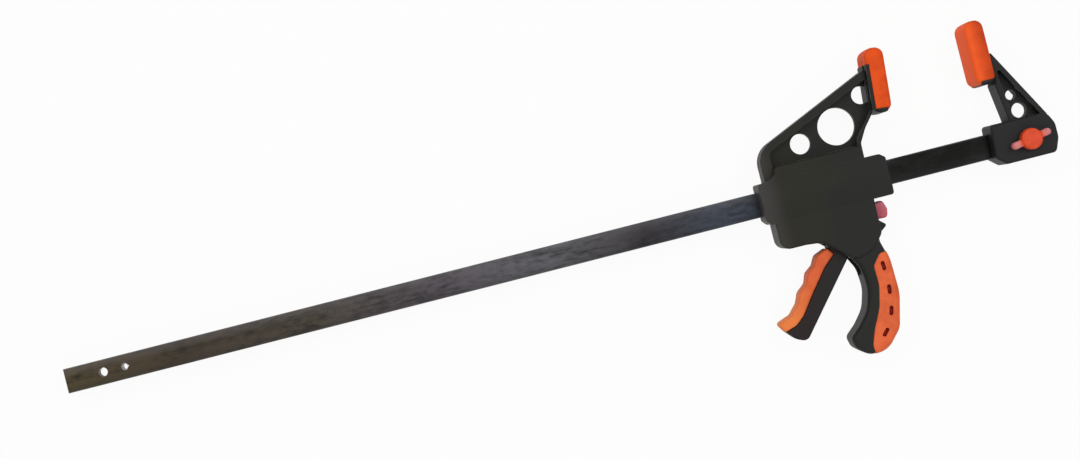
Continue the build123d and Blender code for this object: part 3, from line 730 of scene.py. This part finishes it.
class Workshop:
    """Mesh helpers shared by the pieces."""

    # How far each round of smoothing moves a point towards its neighbours
    SMOOTHING = 0.5

    @staticmethod
    def linked(name: str, data: ID) -> Object:
        """New object, linked to the scene.

        Args:
            name: its name.
            data: its mesh, lamp or camera.

        Returns:
            The object.
        """
        made = bpy.data.objects.new(name, data)
        bpy.context.scene.collection.objects.link(made)
        return made

    @staticmethod
    def put(name: str, mesh: Mesh, *materials: Material) -> Object:
        """Makes an object of a mesh and shades it smooth.

        Args:
            name: the piece's name.
            mesh: its mesh, with its place in it.
            materials: its materials in order.

        Returns:
            The linked object.
        """
        mesh.name = name
        # Clearing an empty list would reset the faces' material numbers too
        if mesh.materials:
            mesh.materials.clear()
        for material in materials:
            mesh.materials.append(material)
        mesh.shade_smooth()
        return Workshop.linked(name, mesh)

    @staticmethod
    def settled(piece: Object) -> Mesh:
        """Plain mesh of a piece with its modifiers applied; the piece itself is removed.

        Args:
            piece: a linked object with modifiers.

        Returns:
            The new mesh.
        """
        piece.update_tag()
        bpy.context.view_layer.update()
        graph = bpy.context.evaluated_depsgraph_get()
        mesh = bpy.data.meshes.new_from_object(piece.evaluated_get(graph), depsgraph=graph)
        bpy.data.objects.remove(piece)
        return mesh

    @staticmethod
    def mesh_of(name: str, work: bmesh.types.BMesh) -> Mesh:
        """Plain mesh of a finished work mesh, which is freed.

        Args:
            name: the mesh's name.
            work: the work mesh.

        Returns:
            The mesh.
        """
        mesh = bpy.data.meshes.new(name)
        work.to_mesh(mesh)
        work.free()
        return mesh

    @staticmethod
    def merged_copy(node: str, weld: float = 0.002 * MM) -> Mesh:
        """Copy of a node's mesh with its loose triangles joined up.

        Args:
            node: the node's name.
            weld: how near corners are joined.

        Returns:
            The closed mesh.
        """
        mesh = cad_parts[node].data.copy()
        work = bmesh.new()
        work.from_mesh(mesh)
        bmesh.ops.remove_doubles(work, verts=work.verts, dist=weld)
        work.to_mesh(mesh)
        work.free()
        return mesh

    @staticmethod
    def softened(mesh: Mesh, voxel: float, rounds: int) -> Mesh:
        """The mesh made anew from small even quads, with its edges gently rounded.

        Args:
            mesh: a closed mesh.
            voxel: size of the quads.
            rounds: how often it is smoothed.

        Returns:
            The new mesh.
        """
        piece = Workshop.put("softening", mesh)
        remesh = piece.modifiers.new("even", "REMESH")
        remesh.mode = "VOXEL"
        remesh.voxel_size = voxel
        smooth = piece.modifiers.new("soft", "SMOOTH")
        smooth.factor = Workshop.SMOOTHING
        smooth.iterations = rounds
        return Workshop.settled(piece)

    @staticmethod
    def cut(mesh: Mesh, cutter: Mesh) -> Mesh:
        """A mesh less a cutter.

        Args:
            mesh: a closed mesh.
            cutter: a closed mesh.

        Returns:
            What is left.
        """
        piece = Workshop.put("cutting", mesh)
        knife = Workshop.put("knife", cutter)
        saw = piece.modifiers.new("saw", "BOOLEAN")
        saw.operation = "DIFFERENCE"
        saw.solver = "EXACT"
        saw.object = knife
        left = Workshop.settled(piece)
        bpy.data.objects.remove(knife)
        return left

    @staticmethod
    def joined(*meshes: Mesh) -> Mesh:
        """One mesh of several; each keeps its place in the list as its material number.

        Args:
            meshes: the meshes in order.

        Returns:
            The joined mesh.
        """
        work = bmesh.new()
        for number, mesh in enumerate(meshes):
            start = len(work.faces)
            work.from_mesh(mesh)
            work.faces.ensure_lookup_table()
            for face in work.faces[start:]:
                face.material_index = number
        return Workshop.mesh_of("joined", work)

    @staticmethod
    def prism(outline: list[Span], low: float, high: float, place: Matrix) -> Mesh:
        """Closed prism over an outline.

        Args:
            outline: corners, anticlockwise.
            low: its lower height.
            high: its upper height.
            place: where it goes.

        Returns:
            The mesh.
        """
        work = bmesh.new()
        corners = [work.verts.new((x, y, low)) for x, y in outline]
        bottom = work.faces.new(corners)
        made = bmesh.ops.extrude_face_region(work, geom=[bottom])["geom"]
        top = [part for part in made if isinstance(part, BMVert)]
        bmesh.ops.translate(work, verts=top, vec=(0, 0, high - low))
        bmesh.ops.recalc_face_normals(work, faces=work.faces)
        bmesh.ops.transform(work, matrix=place, verts=work.verts)
        return Workshop.mesh_of("prism", work)

    @staticmethod
    def stadium(length: float, width: float, steps: int = 10) -> list[Span]:
        """Outline of a slot with round ends.

        Args:
            length: its length over all, along Y.
            width: its width.
            steps: edges of each round end.

        Returns:
            The corners, anticlockwise.
        """
        straight = (length - width) / 2
        corners = []
        for end, side in ((0, 1), (1, -1)):
            for step in range(steps + 1):
                angle = pi * (end + step / steps)
                corners.append((cos(angle) * width / 2, sin(angle) * width / 2 + side * straight))
        return corners


@dataclass
class JawPad:
    """Soft pad of a jaw: a crowned block with round corners, pushed over its seat's tongue."""

    name: str
    node: str
    body: Body
    back: Vector
    lean: float
    side: int
    tongue_top: float
    tongue_half: float
    tongue_depth: float
    rubber: SoftRubber
    thickness: float = 15.8 * MM
    length: float = 52.6 * MM
    width: float = 34.0 * MM
    corner: float = 6.8 * MM
    corner_steps: int = 8
    round_edge: float = 3.8 * MM
    edge_steps: int = 6
    crown: float = 0.5 * MM
    crown_power: int = 3
    side_share: float = 0.8
    tongue_low: float = 23.8 * MM
    notch_reach: float = 12.2 * MM
    notch_height: float = 3.6 * MM
    voxel: float = 0.6 * MM
    rounds: int = 3

    @staticmethod
    def drop(edge: BMEdge) -> float:
        """Difference in height between an edge's two ends."""
        return abs(edge.verts[0].co.z - edge.verts[1].co.z)

    def block(self) -> Mesh:
        """Rounded block, its back's middle at the origin.

        Returns:
            The mesh.
        """
        work = bmesh.new()
        bmesh.ops.create_cube(work, size=1.0)
        bmesh.ops.scale(work, vec=(self.thickness, self.length, self.width), verts=work.verts)
        bmesh.ops.translate(work, vec=(self.thickness / 2, 0, 0), verts=work.verts)
        arc = {"affect": "EDGES", "profile": 0.5}
        upright = [edge for edge in work.edges if self.drop(edge) > self.width / 2]
        bmesh.ops.bevel(work, geom=upright, offset=self.corner, segments=self.corner_steps, **arc)
        rims = [edge for edge in work.edges if self.drop(edge) < MM / 1000]
        bmesh.ops.bevel(work, geom=rims, offset=self.round_edge, segments=self.edge_steps, **arc)
        return Workshop.mesh_of("block", work)

    def cutter(self, reach: float, low: float, high: float, half: float) -> Mesh:
        """Box that reaches into the block from behind its back.

        Args:
            reach: how far it reaches in.
            low: its lower end.
            high: its upper end.
            half: half its width.

        Returns:
            The mesh.
        """
        back = -self.thickness
        outline = [(back, low), (reach, low), (reach, high), (back, high)]
        return Workshop.prism(outline, -half, half, Matrix.Identity(4))

    def pocket(self) -> Mesh:
        """Cutter for the pocket that the seat's tongue fills."""
        return self.cutter(self.tongue_depth, -self.tongue_low, self.tongue_top, self.tongue_half)

    def notch(self) -> Mesh:
        """Cutter for the notch at the lower end that the seat's foot fills."""
        top = self.notch_height - self.length / 2
        return self.cutter(self.notch_reach, -self.length, top, self.width)

    def crowned(self, mesh: Mesh) -> None:
        """Lets the faces sink towards their rims, so that each is fullest in its middle.

        Args:
            mesh: the pad's mesh, still at the origin.
        """
        sideways = self.crown * self.side_share
        for vertex in mesh.vertices:
            place = vertex.co
            along = min(1.0, abs(place.y) / (self.length / 2))
            across = min(1.0, abs(place.z) / (self.width / 2))
            depth = min(1.0, max(0.0, place.x / self.thickness))
            end, rim = along**self.crown_power, across**self.crown_power
            place.x -= self.crown * depth * max(end, rim)
            place.z -= copysign(sideways * across * end, place.z)
            place.y -= copysign(sideways * along * rim, place.y)

    def build(self) -> Object:
        """Builds and dresses the pad.

        Returns:
            The piece.
        """
        mesh = Workshop.softened(self.block(), self.voxel, self.rounds)
        self.crowned(mesh)
        mesh = Workshop.cut(mesh, self.pocket())
        mesh = Workshop.cut(mesh, self.notch())
        turn = Matrix.Rotation(radians(self.lean), 4, "Z")
        if self.side < 0:
            turn = turn @ Matrix.Rotation(pi, 4, "Y")
        mesh.transform(Matrix.Translation(self.back) @ turn)
        piece = Workshop.put(self.name, mesh, self.rubber.make())
        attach(piece, self.body.value)
        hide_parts(self.node)
        return piece


@dataclass
class PalmInlay:
    """Soft inlay of one handle half, with four slots whose floors are painted dark red as shade."""

    name: str
    node: str
    side: int
    slots: tuple[tuple[float, float, float], ...] = (
        (657.456, -70.794, 2.0),
        (657.456, -90.114, -6.0),
        (654.826, -106.95, -16.0),
        (646.410, -122.682, -42.0),
    )
    slot_length: float = 7.9 * MM
    slot_width: float = 3.3 * MM
    floor_low: float = 12.5 * MM
    floor_high: float = 13.9 * MM
    voxel: float = 0.5 * MM
    rounds: int = 2

    def floors(self) -> Mesh:
        """Floors of the four slots, each placed along and up and turned by degrees.

        Returns:
            The mesh.
        """
        outline = Workshop.stadium(self.slot_length, self.slot_width)
        low, high = sorted((self.side * self.floor_low, self.side * self.floor_high))
        floors = []
        for along, up, lean in self.slots:
            place = Matrix.Translation(at(along, up)) @ Matrix.Rotation(radians(lean), 4, "Z")
            floors.append(Workshop.prism(outline, low, high, place))
        return Workshop.joined(*floors)

    def build(self) -> Object:
        """Builds and dresses the inlay.

        Returns:
            The piece.
        """
        skin = Workshop.softened(Workshop.merged_copy(self.node), self.voxel, self.rounds)
        mesh = Workshop.joined(skin, self.floors())
        # The slot floors get the painted shade
        piece = Workshop.put(self.name, mesh, GRIP_RUBBER.make(), SLOT_SHADE_RUBBER.make())
        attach(piece, Body.HEAD.value)
        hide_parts(self.node)
        return piece


@dataclass
class TriggerStrip:
    """Soft wavy strip on the trigger's front."""

    name: str = "trigger_strip"
    node: str = "trigger_grip"
    voxel: float = 0.5 * MM
    rounds: int = 3

    def build(self) -> Object:
        """Builds and dresses the strip.

        Returns:
            The piece.
        """
        mesh = Workshop.softened(Workshop.merged_copy(self.node), self.voxel, self.rounds)
        piece = Workshop.put(self.name, mesh, STRIP_RUBBER.make())
        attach(piece, Body.TRIGGER.value)
        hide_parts(self.node)
        return piece


class TreeBench(NodeBench):
    """One Geometry Nodes tree, with a named input for each of its sizes."""

    def __init__(self, name: str, sizes: dict[str, float]) -> None:
        """Starts a tree.

        Args:
            name: the tree's name.
            sizes: size by input name.
        """
        super().__init__(bpy.data.node_groups.new(name, "GeometryNodeTree"))
        for way in ("INPUT", "OUTPUT"):
            self.tree.interface.new_socket("Geometry", in_out=way, socket_type="NodeSocketGeometry")
        for size in sizes:
            self.tree.interface.new_socket(size, in_out="INPUT", socket_type="NodeSocketFloat")
        self.sizes = sizes
        self.given = self.node("NodeGroupInput", {}, {}).outputs
        self.result = self.node("NodeGroupOutput", {}, {}).inputs

    def size(self, name: str) -> Signal:
        """One of the named sizes."""
        return Signal(self, self.given[name])

    def vector(self, **parts: Number) -> NodeSocket:
        """Vector of the given parts, X, Y and Z; a missing part is 0."""
        return self.node("ShaderNodeCombineXYZ", {}, parts).outputs[0]

    def lifted(self, shape: NodeSocket, height: Number) -> NodeSocket:
        """A shape moved along Z."""
        inputs = {"Geometry": shape, "Translation": self.vector(Z=height)}
        return self.node("GeometryNodeTransform", {}, inputs).outputs[0]

    def applied(self, piece: Object) -> Mesh:
        """Runs the tree on a piece and returns the plain mesh.

        Args:
            piece: the object that carries the points.

        Returns:
            The realized mesh.
        """
        modifier = piece.modifiers.new("tree", "NODES")
        modifier.node_group = self.tree
        for item in self.tree.interface.items_tree:
            if item.in_out == "INPUT" and item.name in self.sizes:
                modifier[item.identifier] = self.sizes[item.name]
        return Workshop.settled(piece)


@dataclass
class HousingScrews:
    """Six equal pan-head screws in the far half's wells, each with a crossed recess."""

    name: str = "housing_screws"
    places: tuple[Span, ...] = (
        (592.758, -30.222),
        (598.544, 19.314),
        (643.780, 19.488),
        (653.984, -47.058),
        (646.515, -88.044),
        (631.051, -122.544),
    )
    seat: float = -12.0 * MM
    head_sides: int = 40
    head_rows: int = 2
    head_rings: int = 6
    shank_sides: int = 24
    recess_share: float = 1.15
    crease: float = 35.0
    sizes: dict[str, float] = field(
        default_factory=lambda: {
            "Head Radius": 2.9 * MM,
            "Head Height": 2.3 * MM,
            "Dome": 0.7 * MM,
            "Shank Radius": 1.45 * MM,
            "Shank Length": 20.0 * MM,
            "Recess Width": 0.9 * MM,
            "Recess Depth": 1.2 * MM,
        }
    )

    def head(self, bench: TreeBench) -> NodeSocket:
        """Pan head, domed on its outer side, with a crossed recess.

        Args:
            bench: the tree that gets the nodes.

        Returns:
            The head's geometry.
        """
        radius, height = bench.size("Head Radius"), bench.size("Head Height")
        sizes = {
            "Vertices": self.head_sides,
            "Side Segments": self.head_rows,
            "Fill Segments": self.head_rings,
            "Radius": radius,
            "Depth": height,
        }
        disc = bench.node("GeometryNodeMeshCylinder", {}, sizes).outputs["Mesh"]
        place = bench.node("GeometryNodeInputPosition", {}, {}).outputs[0]
        parts = bench.node("ShaderNodeSeparateXYZ", {}, {0: place}).outputs
        x, y, z = (Signal(bench, part) for part in parts)
        share = (x * x + y * y) / (radius * radius)
        sunk = share * bench.size("Dome") * bench.math("LESS_THAN", z, 0.0)
        inputs = {"Geometry": disc, "Offset": bench.vector(Z=sunk)}
        domed = bench.node("GeometryNodeSetPosition", {}, inputs).outputs[0]
        long, wide = radius * self.recess_share, bench.size("Recess Width")
        deep = bench.size("Recess Depth") * 2.0
        cross = []
        for x_size, y_size in ((long, wide), (wide, long)):
            box = bench.vector(X=x_size, Y=y_size, Z=deep)
            arm = bench.node("GeometryNodeMeshCube", {}, {"Size": box}).outputs["Mesh"]
            cross.append(bench.lifted(arm, height * -0.5))
        return bench.node(
            "GeometryNodeMeshBoolean",
            {"operation": "DIFFERENCE", "solver": "EXACT"},
            {"Mesh 1": domed, "Mesh 2": cross, "Self Intersection": True},
        ).outputs["Mesh"]

    def shank(self, bench: TreeBench) -> NodeSocket:
        """Plain shank that stands on the head's inner side.

        Args:
            bench: the tree that gets the nodes.

        Returns:
            The shank's geometry.
        """
        length = bench.size("Shank Length")
        sizes = {"Vertices": self.shank_sides, "Radius": bench.size("Shank Radius"), "Depth": length}
        rod = bench.node("GeometryNodeMeshCylinder", {}, sizes).outputs["Mesh"]
        return bench.lifted(rod, (length + bench.size("Head Height")) * 0.5)

    def tree(self, steel: Material) -> TreeBench:
        """Tree that puts one screw on each point.

        Args:
            steel: the screws' material.

        Returns:
            The tree.
        """
        bench = TreeBench("screws_on_points", self.sizes)
        parts = [self.head(bench), self.shank(bench)]
        screw = bench.node("GeometryNodeJoinGeometry", {}, {0: parts}).outputs[0]
        inputs = {"Points": bench.given["Geometry"], "Instance": screw}
        placed = bench.node("GeometryNodeInstanceOnPoints", {}, inputs).outputs[0]
        real = bench.node("GeometryNodeRealizeInstances", {}, {0: placed}).outputs[0]
        dressed = bench.node("GeometryNodeSetMaterial", {}, {"Geometry": real, "Material": steel})
        bench.feed(bench.result[0], dressed.outputs[0])
        return bench

    def build(self) -> Object:
        """Builds and dresses the screws.

        Returns:
            The piece.
        """
        steel = PLATE_STEEL.make()
        points = bpy.data.meshes.new("points")
        middle = self.seat / MM - self.sizes["Head Height"] / MM / 2
        points.from_pydata([at(along, up, middle) for along, up in self.places], [], [])
        mesh = self.tree(steel).applied(Workshop.linked("screw_points", points))
        piece = Workshop.put(self.name, mesh, steel)
        mesh.set_sharp_from_angle(angle=radians(self.crease))
        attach(piece, Body.HEAD.value)
        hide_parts("shell_screws")
        return piece


@dataclass
class ReturnSpring:
    """Wire spring inside the housing, copied whole from its node."""

    name: str
    node: str
    joint: str
    travel: float
    weld: float = 0.001 * MM
    crease: float = 50.0

    def build(self) -> Object:
        """Builds and dresses the spring.

        Returns:
            The piece.
        """
        low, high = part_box(self.node)
        piece = Workshop.put(self.name, Workshop.merged_copy(self.node, self.weld), WIRE_STEEL.make())
        piece.data.set_sharp_from_angle(angle=radians(self.crease))
        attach(piece, Body.HEAD.value)
        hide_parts(self.node)
        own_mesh(piece)
        return piece


@dataclass
class KeptNodes:
    """The rigid CAD nodes that stay as they are and get their finishes."""

    finishes: tuple[tuple[Finish, tuple[str, ...]], ...] = (
        (BAR_STEEL, ("bar",)),
        (PIN_STEEL, ("stop_pin", "trigger_pivot_pin", "brake_pin", "lock_pin")),
        (PLASTIC, ("body_shell_front", "body_shell_rear")),
        (LEVER_PLASTIC, ("trigger",)),
        (PLATE_STEEL, ("drive_plate_1", "drive_plate_2", "spring_washer", "brake_plate", "lock_washer")),
        (BUTTON_PLASTIC, ("release_button",)),
        (JAW_PLASTIC, ("fixed_jaw",)),
        (WIRE_STEEL, ("lock_clip",)),
        (KNOB_PLASTIC, ("lock_knob",)),
    )

    def dress(self) -> None:
        """Gives each node its finish, with one material for each finish."""
        for finish, nodes in self.finishes:
            material = finish.make()
            for node in nodes:
                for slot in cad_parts[node].material_slots:
                    slot.material = material
                log.info("%s wears %s", node, finish.name)


@dataclass(frozen=True)
class SoftLamp:
    """Square lamp that faces the frame's origin."""

    place: tuple[float, float, float]
    size: float
    power: float

    def hang(self, name: str) -> None:
        """Hangs the lamp.

        Args:
            name: its name.
        """
        lamp = bpy.data.lights.new(name, "AREA")
        lamp.size = self.size
        lamp.energy = self.power
        holder = Workshop.linked(name, lamp)
        holder.location = self.place
        holder.rotation_euler = Vector(self.place).to_track_quat("Z", "Y").to_euler()


@dataclass
class Studio:
    """Floor, light and camera."""

    floor_size: float = 24.0
    floor_drop: float = 0.1 * MM
    sky: float = 0.42
    tilt: float = 14.27
    lens: float = 52.33
    sensor: float = 36.0
    eye: Vector = field(default_factory=lambda: at(399.5, 24.5, 1265.0))
    lamps: tuple[SoftLamp, ...] = (
        SoftLamp((-0.75, 0.95, 1.70), 1.3, 15.0),
        SoftLamp((0.95, 0.35, 1.60), 1.0, 8.0),
        SoftLamp((0.10, -1.15, 1.50), 1.0, 6.0),
    )

    def floor(self) -> None:
        """Lays the floor just under the clamp."""
        mesh = bpy.data.meshes.new("floor")
        half, low = self.floor_size / 2, -self.floor_drop
        corners = [(-half, -half, low), (half, -half, low), (half, half, low), (-half, half, low)]
        mesh.from_pydata(corners, [], [(0, 1, 2, 3)])
        piece = Workshop.put("studio_floor", mesh, FLOOR_PAINT.make())

    def light(self) -> None:
        """Sets the sky, which is white where it is seen and dimmer where it lights, and the lamps."""
        world = bpy.data.worlds.new("studio_sky")
        bpy.context.scene.world = world
        world.use_nodes = True
        bench = NodeBench(world.node_tree)
        sky = bench.tree.nodes["Background"].inputs
        level = bench.node("ShaderNodeMapRange", {}, {"Value": bench.direct_view(), "To Min": self.sky})
        bench.feed(sky["Strength"], level.outputs[0])
        bench.feed(sky["Color"], WHITE)
        for number, lamp in enumerate(self.lamps):
            lamp.hang(f"soft_lamp_{number}")

    def camera(self) -> None:
        """Hangs the camera straight over the clamp, turned as in the photograph."""
        lens = bpy.data.cameras.new("camera")
        lens.lens = self.lens
        lens.sensor_width = self.sensor
        holder = Workshop.linked("camera", lens)
        holder.location = self.eye
        holder.rotation_euler = (0, 0, radians(-self.tilt))
        bpy.context.scene.camera = holder

    def build(self) -> None:
        """Sets the whole studio up."""
        self.floor()
        self.light()
        self.camera()
        bpy.context.scene.view_settings.view_transform = "Standard"


def main() -> None:
    """Builds the studio and the clamp's pieces in order."""
    Studio().build()
    KeptNodes().dress()
    pieces = [
        JawPad(
            "movable_jaw_pad",
            "movable_pad",
            Body.HEAD,
            back=at(681.8624, 74.472),
            lean=-4.8,
            side=1,
            tongue_top=13.4 * MM,
            tongue_half=18 * MM,
            tongue_depth=2.6 * MM,
            rubber=PAD_RUBBER,
        ),
        JawPad(
            "fixed_jaw_pad",
            "fixed_pad",
            Body.BAR,
            back=at(781.1792, 74.9),
            lean=0.0,
            side=-1,
            tongue_top=13.3 * MM,
            tongue_half=7.2 * MM,
            tongue_depth=3.2 * MM,
            rubber=FIXED_PAD_RUBBER,
        ),
        PalmInlay("palm_inlay_near", "palm_grip_front", 1),
        PalmInlay("palm_inlay_far", "palm_grip_rear", -1),
        TriggerStrip(),
        HousingScrews(),
        ReturnSpring("drive_coil", "drive_spring", "drive_advance", 4.3 * MM),
        ReturnSpring("brake_coil", "brake_spring", "brake_release", 3.0 * MM),
    ]
    for maker in pieces:
        piece = maker.build()
        log.info("%s: %d faces", piece.name, len(piece.data.polygons))


if __name__ == "__main__":
    main()
